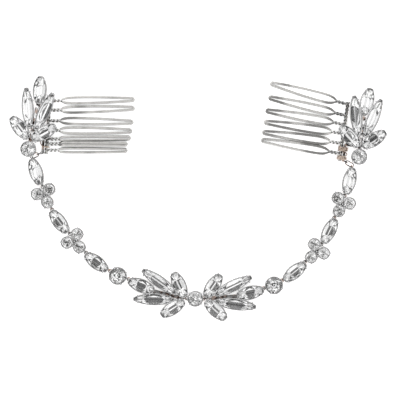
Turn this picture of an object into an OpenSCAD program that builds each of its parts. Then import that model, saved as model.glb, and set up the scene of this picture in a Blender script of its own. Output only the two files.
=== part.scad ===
// Hair vine: clear stones in soldered metal settings, linked by interlocking eyes, with a wire side
// comb at each end.
// Millimetres, +Z up. The vine lies on the plane z = 0 in a deep U that opens towards +Y.
// The origin is under the middle of the centre stone, on the back of its setting.

/* [Stones] */
// Length of the slim leaf stones
long_stone_l = 15.6; // [14:0.1:17]
// Width of the slim leaf stones
long_stone_w = 3.9; // [3.2:0.1:4.4]
// Length of the navette stones
nav_stone_l = 10.2; // [9:0.1:11.5]
// Width of the navette stones
nav_stone_w = 4.7; // [4:0.1:5.3]
// How far a navette's sides would run before they met, as a share of its length
nav_stretch = 1.2; // [1.08:0.01:1.3]
// The same for the slim leaf stones
long_stretch = 1.12; // [1.05:0.01:1.3]
// Diameter of the round stones of a trefoil
small_stone_d = 4.2; // [3.4:0.1:5]
// Diameter of the round stones at the centre and on the combs
mid_stone_d = 5.5; // [4.5:0.1:6.5]
// Diameter of the single round stones of the chain
large_stone_d = 6.3; // [5.2:0.1:7.4]
// Height of a crown above its girdle, as a share of the stone's width
crown_share = 0.2; // [0.14:0.01:0.26]
// Size of a table, as a share of the girdle
table_share = 0.56; // [0.4:0.01:0.7]
// Thickness of a girdle
girdle_t = 0.25; // [0.15:0.01:0.35]
// Half length of a navette's keel, as a share of how much longer than wide it is
keel_share = 0.4; // [0.3:0.01:0.5]
// Gap between a keel and the back of its cup
keel_gap = 0.2; // [0.1:0.05:0.4]

/* [Settings] */
// Wall of a cup round its stone
wall_t = 0.35; // [0.25:0.01:0.5]
// Gap between a stone and its cup
stone_gap = 0.1; // [0.05:0.01:0.15]
// Height of a cup's rim above the back
cup_h = 2.9; // [2.6:0.05:3.4]
// Height of the wide upper part of a cup
rim_h = 0.9; // [0.7:0.05:1.1]
// Thickness of the ledge under a stone
ledge_t = 0.25; // [0.2:0.01:0.3]
// How far the ledge reaches in under a stone
seat = 0.25; // [0.15:0.01:0.3]
// How far a cup's foot steps in under its rim
foot_step = 0.4; // [0.3:0.01:0.45]
// Thickness of the closed back of a cup
floor_t = 0.4; // [0.3:0.05:0.5]
// Diameter of a claw
claw_d = 0.6; // [0.4:0.05:0.7]
// Height of a claw above the rim
claw_rise = 0.4; // [0.2:0.05:0.6]
// Where a navette's claws stand: 0 is its end, 90 the middle of its side
claw_at = 32; // [28:1:44]
// Gap between neighbouring cups of a trefoil
trefoil_gap = 0.15; // [0.1:0.01:0.3]
// Diameter of the ball in the middle of a trefoil
ball_d = 1.1; // [1:0.05:1.3]

/* [Leaves] */
// Length of a leaf's vein, from its base to the tip leaf
vein_l = 12.4; // [11.5:0.1:14]
// Width of a leaf's vein
vein_w = 1.5; // [1.2:0.1:1.8]
// How far the base leaves start past the rim that a cup would have at the entry eye
leaf_lead = 0.3; // [0.2:0.05:0.6]
// Gap between a spray's round cup and the start of its base leaves
spray_lead = 1; // [0.8:0.05:1.4]

/* [Joints] */
// Wire of the eyes that join the settings
eye_wire = 0.42; // [0.35:0.01:0.5]
// Room between the wires of two eyes in their middle place
eye_gap = 0.25; // [0.2:0.01:0.3]
// How far an eye tucks in under its rim
eye_inset = 0.58; // [0.5:0.01:0.62]
// How far the eyes of the chain lie to the inner side of its middle line
eye_side = 0.4; // [0:0.05:0.5]
// How far each joint of the left half is pulled out, and each joint of the right half pushed in
eye_play = 0.12; // [0:0.01:0.15]
// Wire of the oval links at the combs
link_wire = 0.42; // [0.35:0.01:0.5]
// Length of an oval link, from end to end of its wire's middle line
link_span = 3.55; // [3.2:0.05:4.2]
// Radius of the round ends of an oval link
link_r = 0.8; // [0.75:0.05:1.2]

/* [Combs] */
// Wire of the combs
comb_wire = 0.75; // [0.6:0.01:0.85]
// Distance between the teeth at the spine
tooth_pitch = 4; // [3.8:0.05:4.6]
// Length of a tooth's twisted neck, from the spine's middle
neck_l = 5; // [4.6:0.1:6]
// Length of a tooth from its neck to its tip
leg_l = 27; // [22:0.5:32]
// Radius of the bend at a tooth's tip
tip_r = 0.62; // [0.5:0.01:0.7]
// Gap between the two strands of a twist
strand_gap = 0.1; // [0.08:0.01:0.15]
// Length of one turn of a twist
twist_pitch = 2.9; // [2.8:0.1:4]
// Length of bare spine before the first tooth, where no binding lies there
bare_lead = 1; // [0.9:0.1:2]
// How far a spine reaches past its first binding or its elbow
spine_end = 0.3; // [0.2:0.05:0.5]
// How late a tooth's leg bends down to the surface: 1 is a straight slope
leg_curve = 1.6; // [1:0.1:2.4]

/* [Bindings] */
// Wire that binds a spray to its comb
wrap_wire = 0.42; // [0.35:0.01:0.5]
// Distance from one turn of a binding to the next
wrap_pitch = 0.56; // [0.5:0.01:0.6]
// Turns of the right hand binding before the first tooth
wrap_turns = 3; // [2:1:4]
// Play between a binding and what it binds
wrap_gap = 0.1; // [0.05:0.01:0.15]
// Diameter of the tail bar of a spray
tail_d = 1; // [0.8:0.05:1.2]
// Length of the arm between the left tail bar's elbow and its eye
arm_l = 0.6; // [0.4:0.1:1.2]
// Gap between the tail bar and the spine, and between the spine and the spray above it
spine_gap = 0.15; // [0.1:0.01:0.3]

/* [Hidden] */

$fn = 64;
metal = [0.80, 0.80, 0.82];
crystal = [0.90, 0.95, 1.00, 0.6];
binding = [0.72, 0.60, 0.52];
LEFT = 0;
RIGHT = 1;

// Stones, as length, width and stretch of the sides: a round one is as wide as it is long.
LONG = [long_stone_l, long_stone_w, long_stretch];
NAV = [nav_stone_l, nav_stone_w, nav_stretch];
SMALL = [small_stone_d, small_stone_d];
MID = [mid_stone_d, mid_stone_d];
LARGE = [large_stone_d, large_stone_d];

// Outlines of a cup, as growth of its stone's outline
rim_grow = stone_gap + wall_t;
foot_grow = rim_grow - foot_step;
// Heights in a cup
rim_z = cup_h - rim_h;
ledge_z = rim_z + ledge_t;
girdle_z = cup_h - girdle_t;
keel_z = floor_t + keel_gap;

// Eyes: a flat eye ends each piece, and the next piece's standing eye passes through it.
eye_r = eye_wire + eye_gap;
eye_out = eye_r - eye_inset;
eye_lift = 0.02;
eye_z = eye_r + eye_wire / 2 + eye_lift;

// Trefoil: three cups round a middle, the first of them behind
trefoil_r = (small_stone_d + 2 * rim_grow + trefoil_gap) / sqrt(3);
notch_share = 1.15;
notch_r = notch_share * trefoil_r;

// Twists: two strands side by side, wound round each other
twist_steps = 7;
strand_r = (comb_wire + strand_gap) / 2;
twist_r = strand_r + comb_wire / 2;

// Comb end: the tail bar lies beside the spine, and the binding goes round both.
wrap_steps = 10;
wrap_r = (twist_r + wrap_gap + wrap_wire / 2) / cos(180 / wrap_steps);
wrap_clear = wrap_gap + wrap_wire / 2;
spine_z = wrap_r + wrap_wire / 2;
spine_off = twist_r + spine_gap + tail_d / 2;
elbow_grow = 0.05;
elbow_r = tail_d / 2 + elbow_grow;
spray_z = 2 * spine_z + spine_gap;
spray_round_x = -(mid_stone_d / 2 + rim_grow + spray_lead);

// One leaf of a setting for each row: stone, start along the vein, start beside the vein,
// heading in the right hand leaf and in the right hand spray. The start is a share of the
// vein's length and of the leaf's width.
LEAF_STONE = 0;
LEAF_ALONG = 1;
LEAF_BESIDE = 2;
LEAF_HEADING = 3;
SPRAY_HEADING = 4;
LEAVES = [
    [NAV, -0.02, 0.10, 52, 49],
    [LONG, 0.29, 0.27, 22, 13],
    [NAV, 1.00, 0.05, 9, -7],
    [LONG, 0.295, -0.27, -12, -16],
    [NAV, -0.02, -0.14, -46, -50]
];
TIP = 2;

// Route of the chain, from the centre outwards: piece, heading on the left as seen in a mirror,
// heading on the right.
CHAIN = [
    ["leaf", 13, 4],
    ["round", 24, 23],
    ["navette", 37, 39],
    ["trefoil", 50, 47],
    ["navette", 53, 64],
    ["trefoil", 68, 65],
    ["navette", 71, 77]
];
// Distance of the middles of two joined eyes, left and right
JOINT = [eye_r + eye_play, eye_r - eye_play];
// Headings of what hangs on the chain's end, left and right: link, comb and spray
LINK_HEADING = [160, 151.2];
COMB_HEADING = [93.6, 81.5];
SPRAY_AXIS = [102, 83];
// Where a spray's base lies from its elbow, left and right, in lengths of the necks that it hides
SPRAY_BASE = [[0.86, 1.07], [1.282, 1.096]];
// Arm between elbow and eye, and turns of the binding before the first tooth, left and right
ARM = [arm_l, 0];
WRAP_BEFORE = [0, wrap_turns];
// Start along the vein of a spray's tip leaf, left and right: the left one is bent further out
SPRAY_TIP = [1.14, 1];

// Teeth from the chain's end of the spine: station in pitches, heading from the spine, half the
// opening of the hairpin in pitches, length of the leg as a share of its named length, and how many
// wires higher than its neighbours the leg lies, where it crosses over the next one
TEETH = [
    [
        [0, 86.5, 0.2125, 1, 0],
        [0.64, 86.6, 0.13, 1, 1],
        [1.12, 85.6, 0.18, 1.04, 0],
        [2.0, 86.8, 0.3, 1.05, 0],
        [2.98, 87.4, 0.3, 1.06, 0],
        [4.02, 85.0, 0.3, 1.07, 0],
        [4.97, 85.4, 0.3, 1.06, 0]
    ],
    [
        [0, 88.7, 0.3625, 0.99, 0],
        [1.04, 90.4, 0.3625, 0.99, 0],
        [2.03, 90.1, 0.3625, 0.99, 0],
        [2.96, 88.5, 0.3625, 0.99, 0],
        [3.85, 85.2, 0.35, 0.98, 0],
        [4.99, 83.1, 0.4, 0.99, 0]
    ]
];
// Turns of a binding beyond the first tooth, in groups between two teeth: start in pitches from
// the first tooth, and turns
WRAP = [
    [[0.33, 1], [1.38, 3]],
    [[0.3, 4]]
];
// A tooth's leg: share of its length, and share of its opening beyond the bend at its tip
LEG_SHAPE = [[0.05, 0.5], [0.12, 0.9], [0.25, 1], [0.5, 0.85], [0.75, 0.45], [0.92, 0.1]];

function dir(a) = [cos(a), sin(a)];
function turn(p, a) = [p.x * cos(a) - p.y * sin(a), p.x * sin(a) + p.y * cos(a)];
function unit(v) = v / norm(v);

// Length of a piece from its entry eye to its middle, and from there to its exit eye
function reach_in(piece) =
    piece == "leaf" ? leaf_lead + eye_out
    : piece == "round" ? large_stone_d / 2 + rim_grow + eye_out
    : piece == "trefoil" ? trefoil_r + small_stone_d / 2 + rim_grow + eye_out
    : nav_stone_l / 2 + rim_grow + eye_out;
function reach_out(piece) = piece == "trefoil" ? notch_r : reach_in(piece);

// Start of a leaf in its setting, and its middle
function leaf_start(row) =
    [row[LEAF_ALONG] * vein_l, row[LEAF_BESIDE] * (row[LEAF_STONE].y + 2 * rim_grow)];
function leaf_middle(row, h) = leaf_start(row) + (row[LEAF_STONE].x / 2 + rim_grow) * dir(row[h]);
tip_eye = [nav_stone_l + 2 * rim_grow + eye_out, eye_side];
function leaf_exit() = leaf_start(LEAVES[TIP]) + turn(tip_eye, LEAVES[TIP][LEAF_HEADING]);
// The leaves of a spray, which are bent a little differently from side to side
function spray_leaf(side, i) =
    [for (k = [0:len(LEAVES[i]) - 1])
        i == TIP && k == LEAF_ALONG ? SPRAY_TIP[side]
        : k == LEAF_HEADING ? LEAVES[i][SPRAY_HEADING]
        : LEAVES[i][k]];
function spray_leaves(side) = [for (i = [0:len(LEAVES) - 1]) spray_leaf(side, i)];

// Places along the chain of one side
function heading(side, i) = CHAIN[i][1 + side];
function entry(side, i) =
    i == 0 ? [mid_stone_d / 2 + rim_grow + eye_out + JOINT[side], 0]
    : exit(side, i - 1) + JOINT[side] * dir(heading(side, i));
function entry_eye(i) = [-reach_in(CHAIN[i][0]), i == 0 ? 0 : eye_side];
function exit_eye(i) = CHAIN[i][0] == "leaf" ? leaf_exit() : [reach_out(CHAIN[i][0]), eye_side];
function middle(side, i) = entry(side, i) - turn(entry_eye(i), heading(side, i));
function exit(side, i) = middle(side, i) + turn(exit_eye(i), heading(side, i));

// Places of the comb end of one side
function chain_end(side) = exit(side, len(CHAIN) - 1);
// An oval link hangs on the chain's last eye by the part of its round end that runs square to the eye.
function link_start(side) =
    chain_end(side) + link_r * (dir(heading(side, len(CHAIN) - 1)) - dir(LINK_HEADING[side]));
function tail_eye(side) = link_start(side) + link_span * dir(LINK_HEADING[side]);
function elbow(side) = tail_eye(side) + (eye_r + tail_d / 2 + ARM[side]) * dir(LINK_HEADING[side]);
function spray_base(side) = elbow(side) + neck_l * SPRAY_BASE[side];
function first_tooth(side) =
    WRAP_BEFORE[side] == 0 ? bare_lead
    : 2 * wrap_clear + (WRAP_BEFORE[side] - 1) * wrap_pitch + twist_r;
function wrap_stations(side) = concat(
    [for (k = [0:1:WRAP_BEFORE[side] - 1]) wrap_clear + k * wrap_pitch],
    [for (row = WRAP[side]) for (k = [0:row[1] - 1])
        first_tooth(side) + row[0] * tooth_pitch + k * wrap_pitch]
);
function last(list) = list[len(list) - 1];
function tail_l(side) = last(wrap_stations(side)) + wrap_clear + elbow_r;
function spine_l(side) = first_tooth(side) + last(TEETH[side])[0] * tooth_pitch + twist_r;

// Everything on the left is made as seen in a mirror, so that both sides share one set of rules.
module on_side(side) {
    mirror([side == LEFT ? 1 : 0, 0, 0]) children();
}
module at(point, angle, z = 0) {
    translate([point.x, point.y, z]) rotate([0, 0, angle]) children();
}

// Radius of a navette's sides
function side_arc(stone) =
    let (reach = stone.x * stone.z)
    (reach * reach + stone.y * stone.y) / (4 * stone.y);

// Outline of a stone, grown by the same amount all round
module outline(stone, grow = 0) {
    if (stone.x == stone.y) {
        circle(d = stone.x + 2 * grow);
    } else {
        arc_r = side_arc(stone);
        arc_off = arc_r - stone.y / 2;
        intersection() {
            translate([0, -arc_off]) circle(r = arc_r + grow, $fn = 256);
            translate([0, arc_off]) circle(r = arc_r + grow, $fn = 256);
            circle(d = stone.x + 2 * grow);
        }
    }
}

// Half the width of a stone at a distance from its middle
function half_width(stone, x) =
    let (arc_r = side_arc(stone))
    sqrt(arc_r * arc_r - x * x) - arc_r + stone.y / 2;

// A point of a stone's outline, at an angle, for a copy of the outline of some share of its size
function rim_point(stone, a, share, z) =
    let (x = cos(a) * stone.x / 2)
    stone.x == stone.y ? [share * x, share * sin(a) * stone.y / 2, z]
    : [share * x, share * sign(sin(a)) * half_width(stone, x), z];

// Cut stone: table, eight main and eight star facets, girdle, and a pavilion down to a keel
module cut_stone(stone) {
    n = 16;
    step = 360 / n;
    crown_h = crown_share * stone.y;
    keel = stone.x - stone.y;
    table = [for (i = [0:n / 2 - 1]) rim_point(stone, (2 * i + 1) * step, table_share, cup_h + crown_h)];
    upper = [for (i = [0:n - 1]) rim_point(stone, (i + 0.5) * step, 1, cup_h)];
    lower = [for (i = [0:n - 1]) rim_point(stone, (i + 0.5) * step, 1, girdle_z)];
    culets = keel == 0 ? [[0, 0, keel_z]] : [[keel * keel_share, 0, keel_z], [-keel * keel_share, 0, keel_z]];
    up = n / 2;
    low = up + n;
    cul = low + n;
    function next(i) = (i + 1) % n;
    function culet(i) = keel == 0 ? cul : (i < n / 4 || i >= 3 * n / 4) ? cul : cul + 1;
    polyhedron(
        points = concat(table, upper, lower, culets),
        faces = concat(
            [[for (i = [n / 2 - 1:-1:0]) i]],
            [for (i = [0:n / 2 - 1]) [i, up + 2 * i + 1, up + 2 * i]],
            [for (i = [0:n / 2 - 1]) [i, (i + 1) % (n / 2), up + 2 * i + 1]],
            [for (i = [0:n / 2 - 1]) [(i + 1) % (n / 2), up + next(2 * i + 1), up + 2 * i + 1]],
            [for (i = [0:n - 1]) [up + i, up + next(i), low + i]],
            [for (i = [0:n - 1]) [up + next(i), low + next(i), low + i]],
            [for (i = [0:n - 1]) [low + i, low + next(i), culet(i)]],
            [for (i = [0:n - 1]) if (culet(i) != culet(next(i))) [low + next(i), culet(next(i)), culet(i)]]
        )
    );
}

// Claws of a cup: four on its rim, near the ends of a navette
module claws(stone) {
    round_one = stone.x == stone.y;
    stand = stone_gap + claw_d / 2;
    foot_z = rim_z + ledge_t / 2;
    for (a = round_one ? [45:90:315] : [claw_at, 180 - claw_at, 180 + claw_at, 360 - claw_at]) {
        p = rim_point(stone, a, 1, 0);
        out = round_one ? [cos(a), sin(a)] : [0, sign(p.y)];
        translate([p.x + out.x * stand, p.y + out.y * stand, foot_z])
            cylinder(d = claw_d, h = cup_h + claw_rise - foot_z, $fn = 24);
    }
}

// Hollow of a cup: a narrow well under the stone, and the stone's own room above the ledge
module hollow(stone) {
    translate([0, 0, floor_t]) linear_extrude(cup_h) outline(stone, -seat);
    translate([0, 0, ledge_z]) linear_extrude(cup_h) outline(stone, stone_gap);
}

// Eyes: a ring that lies flat, and one that stands in line with its piece
module eye_ring() {
    rotate_extrude() translate([eye_r, 0]) circle(d = eye_wire, $fn = 24);
}
module flat_eye(p, z = eye_z) {
    translate([p.x, p.y, z]) eye_ring();
}
module standing_eye(p, z = eye_z) {
    translate([p.x, p.y, z]) rotate([90, 0, 0]) eye_ring();
}

// A cup by itself, with the given eyes
module single_setting(stone, flat_at, standing_at) {
    color(metal) difference() {
        union() {
            linear_extrude(rim_z) outline(stone, foot_grow);
            translate([0, 0, rim_z]) linear_extrude(rim_h) outline(stone, rim_grow);
            claws(stone);
            for (p = flat_at) flat_eye(p);
            for (p = standing_at) standing_eye(p);
        }
        hollow(stone);
    }
}

module centre_setting() {
    out = mid_stone_d / 2 + rim_grow + eye_out;
    single_setting(MID, [[out, 0], [-out, 0]], []);
}
module centre_stone() {
    color(crystal) cut_stone(MID);
}

// A round or a navette of the chain
module chain_setting(side, i) {
    stone = CHAIN[i][0] == "round" ? LARGE : NAV;
    at_end = i == len(CHAIN) - 1;
    flats = at_end ? [] : [exit_eye(i)];
    stands = at_end ? [entry_eye(i), exit_eye(i)] : [entry_eye(i)];
    on_side(side) at(middle(side, i), heading(side, i)) single_setting(stone, flats, stands);
}
module chain_stone(side, i) {
    stone = CHAIN[i][0] == "round" ? LARGE : NAV;
    color(crystal) on_side(side) at(middle(side, i), heading(side, i)) cut_stone(stone);
}

// Three round cups, joined in the middle
module at_trefoil() {
    for (a = [60, 180, 300])
        rotate([0, 0, a]) translate([trefoil_r, 0, 0]) rotate([0, 0, 180 - a]) children();
}
module trefoil_setting(side, i) {
    color(metal) on_side(side) at(middle(side, i), heading(side, i)) difference() {
        union() {
            linear_extrude(rim_z) {
                at_trefoil() circle(d = small_stone_d + 2 * foot_grow);
                circle(r = trefoil_r / 2);
            }
            translate([0, 0, rim_z]) linear_extrude(rim_h)
                at_trefoil() circle(d = small_stone_d + 2 * rim_grow);
            at_trefoil() claws(SMALL);
            translate([0, eye_side - eye_wire, eye_z - eye_wire / 2])
                cube([notch_r - eye_r, 2 * eye_wire, eye_wire]);
            cylinder(d = ball_d / 2, h = cup_h);
            translate([0, 0, cup_h]) sphere(d = ball_d);
            flat_eye(exit_eye(i));
            standing_eye(entry_eye(i));
        }
        at_trefoil() hollow(SMALL);
    }
}
module trefoil_stones(side, i) {
    color(crystal) on_side(side) at(middle(side, i), heading(side, i)) at_trefoil() cut_stone(SMALL);
}

// Five leaves on a vein, as their outlines in one plane
module at_leaf(row) {
    at(leaf_middle(row, LEAF_HEADING), row[LEAF_HEADING]) children();
}
module leaf_outlines(leaves, grow) {
    for (row = leaves) at_leaf(row) outline(row[LEAF_STONE], grow);
}
module vein(leaves, back) {
    reach = leaves[TIP][LEAF_ALONG] * vein_l + rim_grow;
    translate([-back, -vein_w / 2]) square([reach + back, vein_w]);
}
module leaf_claws(leaves) {
    for (row = leaves) at_leaf(row) claws(row[LEAF_STONE]);
}
module leaf_hollows(leaves) {
    for (row = leaves) at_leaf(row) hollow(row[LEAF_STONE]);
}
module leaf_setting(side) {
    tip = LEAVES[TIP];
    color(metal) on_side(side) at(middle(side, 0), heading(side, 0)) difference() {
        union() {
            linear_extrude(rim_z) {
                leaf_outlines(LEAVES, foot_grow);
                vein(LEAVES, leaf_lead - foot_step);
            }
            translate([0, 0, rim_z]) linear_extrude(rim_h) leaf_outlines(LEAVES, rim_grow);
            leaf_claws(LEAVES);
            standing_eye(entry_eye(0));
            at(leaf_start(tip), tip[LEAF_HEADING]) flat_eye(tip_eye);
        }
        leaf_hollows(LEAVES);
    }
}
module leaf_stone(side, i) {
    row = LEAVES[i];
    color(crystal) on_side(side) at(middle(side, 0), heading(side, 0)) at_leaf(row)
        cut_stone(row[LEAF_STONE]);
}

// The spray lies over the comb: its vein, its round cup and its tail bar are one casting.
module spray_setting(side) {
    leaves = spray_leaves(side);
    base = spray_base(side);
    foot = elbow(side);
    h = COMB_HEADING[side];
    top = foot + tail_l(side) * dir(h);
    bar = base - top;
    color(metal) on_side(side) {
        difference() {
            union() {
                at(base, SPRAY_AXIS[side], spray_z) {
                    linear_extrude(rim_z) {
                        leaf_outlines(leaves, foot_grow);
                        vein(leaves, -spray_round_x);
                        translate([spray_round_x, 0]) outline(MID, foot_grow);
                    }
                    translate([0, 0, rim_z]) linear_extrude(rim_h) {
                        leaf_outlines(leaves, rim_grow);
                        translate([spray_round_x, 0]) outline(MID, rim_grow);
                    }
                    leaf_claws(leaves);
                    translate([spray_round_x, 0, 0]) claws(MID);
                }
                // Bar from the vein to the post, and the post down to the tail bar
                at(top, atan2(bar.y, bar.x), spray_z) translate([0, -elbow_r, 0])
                    cube([norm(bar), 2 * elbow_r, rim_z / 2]);
                translate([top.x, top.y, spine_z]) cylinder(r = elbow_r, h = spray_z - spine_z + rim_z / 2);
            }
            at(base, SPRAY_AXIS[side], spray_z) {
                leaf_hollows(leaves);
                translate([spray_round_x, 0, 0]) hollow(MID);
            }
        }
        // Tail bar, with an elbow and an eye at its end
        at(foot, h, spine_z) rotate([0, 90, 0]) cylinder(d = tail_d, h = tail_l(side));
        translate([foot.x, foot.y, spine_z]) sphere(r = elbow_r);
        if (ARM[side] > 0)
            at(foot, LINK_HEADING[side], spine_z) rotate([0, -90, 0])
                cylinder(d = tail_d, h = ARM[side] + eye_wire);
        at(tail_eye(side), LINK_HEADING[side]) standing_eye([0, 0], spine_z);
    }
}
module spray_stone(side, i) {
    row = spray_leaf(side, i);
    color(crystal) on_side(side) at(spray_base(side), SPRAY_AXIS[side], spray_z) at_leaf(row)
        cut_stone(row[LEAF_STONE]);
}
module spray_round_stone(side) {
    color(crystal) on_side(side) at(spray_base(side), SPRAY_AXIS[side], spray_z)
        translate([spray_round_x, 0, 0]) cut_stone(MID);
}

// A wire along a route of points, which may close on itself
function route_dir(p, i, closed) =
    let (n = len(p))
    closed ? unit(p[(i + 1) % n] - p[(i + n - 1) % n])
    : unit(p[min(i + 1, n - 1)] - p[max(i - 1, 0)]);
function wire_ring(p, i, r, sides, closed) =
    let (
        t = route_dir(p, i, closed),
        s = unit(cross(t, [0, 0, 1])),
        u = cross(s, t)
    )
    [for (k = [0:sides - 1]) p[i] + r * (cos(k * 360 / sides) * s + sin(k * 360 / sides) * u)];
module wire(route, d, sides = 6, closed = false) {
    n = len(route);
    rings = closed ? n : n - 1;
    function id(i, k) = (i % n) * sides + k % sides;
    polyhedron(
        points = [for (i = [0:n - 1]) each wire_ring(route, i, d / 2, sides, closed)],
        faces = concat(
            [for (i = [0:rings - 1]) for (k = [0:sides - 1]) [id(i, k), id(i, k + 1), id(i + 1, k)]],
            [for (i = [0:rings - 1]) for (k = [0:sides - 1]) [id(i, k + 1), id(i + 1, k + 1), id(i + 1, k)]],
            closed ? [] : [[for (k = [sides - 1:-1:0]) k], [for (k = [0:sides - 1]) id(n - 1, k)]]
        )
    );
}

// Oval link, closed, from the last eye of the chain up to the eye of the tail bar
module link(side) {
    a = link_start(side);
    rise = spine_z - eye_z;
    bend = 5;
    function end_arc(x, first) =
        [for (k = [0:bend]) let (t = first + 180 * k / bend) [x + link_r * cos(t), link_r * sin(t), 0]];
    flat = concat(end_arc(link_span - link_r, -90), end_arc(link_r, 90));
    color(metal) on_side(side) at(a, LINK_HEADING[side], eye_z)
        wire([for (p = flat) [p.x, p.y, rise * p.x / link_span]], link_wire, closed = true);
}

// Binding wire: turns round the tail bar and the spine, which step on to their next place on the
// bar's side, so that they pass between the teeth
module wrap(side) {
    at_x = wrap_stations(side);
    half = spine_off / 2;
    turn_step = 360 / wrap_steps;
    route = [
        for (i = [0:len(at_x) - 1])
            for (a = [-2 * turn_step:turn_step:(i < len(at_x) - 1 ? 7 : 2) * turn_step])
                let (step_on = a > 90 ? (a - 90) / 180 : 0)
                [
                    at_x[i] + (step_on == 0 ? 0 : step_on * (at_x[i + 1] - at_x[i])),
                    half * sign(cos(a)) + wrap_r * cos(a),
                    wrap_r * sin(a)
                ]
    ];
    color(binding) on_side(side) at(elbow(side), COMB_HEADING[side], spine_z) translate([0, half, 0])
        wire_along(route, wrap_wire, 5);
}
// A coil's wire stands upright in places, so its rings are set against its axis and not against +Z.
module wire_along(route, d, sides) {
    n = len(route);
    function ring(i) =
        let (
            t = route_dir(route, i, false),
            s = unit(cross(t, [1, 0, 0])),
            u = cross(s, t)
        )
        [for (k = [0:sides - 1]) route[i] + d / 2 * (cos(k * 360 / sides) * s + sin(k * 360 / sides) * u)];
    function id(i, k) = i * sides + k % sides;
    polyhedron(
        points = [for (i = [0:n - 1]) each ring(i)],
        faces = concat(
            [for (i = [0:n - 2]) for (k = [0:sides - 1]) [id(i, k), id(i, k + 1), id(i + 1, k)]],
            [for (i = [0:n - 2]) for (k = [0:sides - 1]) [id(i, k + 1), id(i + 1, k + 1), id(i + 1, k)]],
            [[for (k = [sides - 1:-1:0]) k], [for (k = [0:sides - 1]) id(n - 1, k)]]
        )
    );
}

// One strand of a twist along +X, which ends at the given phase
function strand(from, to, phase) =
    let (n = ceil(twist_steps * (to - from) / twist_pitch))
    [
        for (k = [0:n])
            let (x = from + (to - from) * k / n, a = phase + 360 * (x - to) / twist_pitch)
            [x, strand_r * cos(a), strand_r * sin(a)]
    ];
function reversed(p) = [for (i = [len(p) - 1:-1:0]) p[i]];
// Height of a leg above its tip: the comb rests on its tips
function leg_z(s) = -(spine_z - comb_wire / 2) * pow(s, leg_curve);
function leg(open, length, lift, way) =
    let (r = min(tip_r, open))
    [
        for (row = LEG_SHAPE)
            [neck_l + row[0] * length, way * (r + (open - r) * row[1]), leg_z(row[0]) + lift]
    ];
// A hairpin tooth: one wire, down one strand and leg, round the tip and back
module tooth(row) {
    open = row[2] * tooth_pitch;
    length = row[3] * leg_l;
    lift = row[4] * (comb_wire + wrap_gap);
    r = min(tip_r, open);
    start = twist_r + spine_gap;
    bend = [for (a = [90:-36:-90]) [neck_l + length - r + r * cos(a), r * sin(a), leg_z(1) + lift]];
    route = concat(
        strand(start, neck_l, 0),
        leg(open, length, lift, 1),
        bend,
        reversed(leg(open, length, lift, -1)),
        reversed(strand(start, neck_l, 180))
    );
    wire(route, comb_wire);
}
module comb(side) {
    color(metal) on_side(side) at(elbow(side), COMB_HEADING[side], spine_z) translate([0, spine_off, 0]) {
        for (phase = [0, 180]) wire(strand(-spine_end, spine_l(side), phase), comb_wire, 5);
        for (row = TEETH[side])
            translate([first_tooth(side) + row[0] * tooth_pitch, 0, 0]) rotate([0, 0, row[1]])
                tooth(row);
    }
}

centre_setting();
centre_stone();
leaf_setting(LEFT);  // left_leaf_setting
leaf_stone(LEFT, 0);  // left_leaf_stone_1
leaf_stone(LEFT, 1);  // left_leaf_stone_2
leaf_stone(LEFT, 2);  // left_leaf_stone_3
leaf_stone(LEFT, 3);  // left_leaf_stone_4
leaf_stone(LEFT, 4);  // left_leaf_stone_5
chain_setting(LEFT, 1);  // left_round_setting
chain_stone(LEFT, 1);  // left_round_stone
chain_setting(LEFT, 2);  // left_navette_1_setting
chain_stone(LEFT, 2);  // left_navette_1_stone
trefoil_setting(LEFT, 3);  // left_trefoil_1_setting
trefoil_stones(LEFT, 3);  // left_trefoil_1_stones
chain_setting(LEFT, 4);  // left_navette_2_setting
chain_stone(LEFT, 4);  // left_navette_2_stone
trefoil_setting(LEFT, 5);  // left_trefoil_2_setting
trefoil_stones(LEFT, 5);  // left_trefoil_2_stones
chain_setting(LEFT, 6);  // left_navette_3_setting
chain_stone(LEFT, 6);  // left_navette_3_stone
link(LEFT);  // left_link
spray_setting(LEFT);  // left_spray_setting
spray_round_stone(LEFT);  // left_spray_round_stone
spray_stone(LEFT, 0);  // left_spray_stone_1
spray_stone(LEFT, 1);  // left_spray_stone_2
spray_stone(LEFT, 2);  // left_spray_stone_3
spray_stone(LEFT, 3);  // left_spray_stone_4
spray_stone(LEFT, 4);  // left_spray_stone_5
wrap(LEFT);  // left_wrap
comb(LEFT);  // left_comb
leaf_setting(RIGHT);  // right_leaf_setting
leaf_stone(RIGHT, 0);  // right_leaf_stone_1
leaf_stone(RIGHT, 1);  // right_leaf_stone_2
leaf_stone(RIGHT, 2);  // right_leaf_stone_3
leaf_stone(RIGHT, 3);  // right_leaf_stone_4
leaf_stone(RIGHT, 4);  // right_leaf_stone_5
chain_setting(RIGHT, 1);  // right_round_setting
chain_stone(RIGHT, 1);  // right_round_stone
chain_setting(RIGHT, 2);  // right_navette_1_setting
chain_stone(RIGHT, 2);  // right_navette_1_stone
trefoil_setting(RIGHT, 3);  // right_trefoil_1_setting
trefoil_stones(RIGHT, 3);  // right_trefoil_1_stones
chain_setting(RIGHT, 4);  // right_navette_2_setting
chain_stone(RIGHT, 4);  // right_navette_2_stone
trefoil_setting(RIGHT, 5);  // right_trefoil_2_setting
trefoil_stones(RIGHT, 5);  // right_trefoil_2_stones
chain_setting(RIGHT, 6);  // right_navette_3_setting
chain_stone(RIGHT, 6);  // right_navette_3_stone
link(RIGHT);  // right_link
spray_setting(RIGHT);  // right_spray_setting
spray_round_stone(RIGHT);  // right_spray_round_stone
spray_stone(RIGHT, 0);  // right_spray_stone_1
spray_stone(RIGHT, 1);  // right_spray_stone_2
spray_stone(RIGHT, 2);  // right_spray_stone_3
spray_stone(RIGHT, 3);  // right_spray_stone_4
spray_stone(RIGHT, 4);  // right_spray_stone_5
wrap(RIGHT);  // right_wrap
comb(RIGHT);  // right_comb
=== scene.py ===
import math
import random
import bmesh
import bpy
from mathutils import Matrix, Vector


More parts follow.
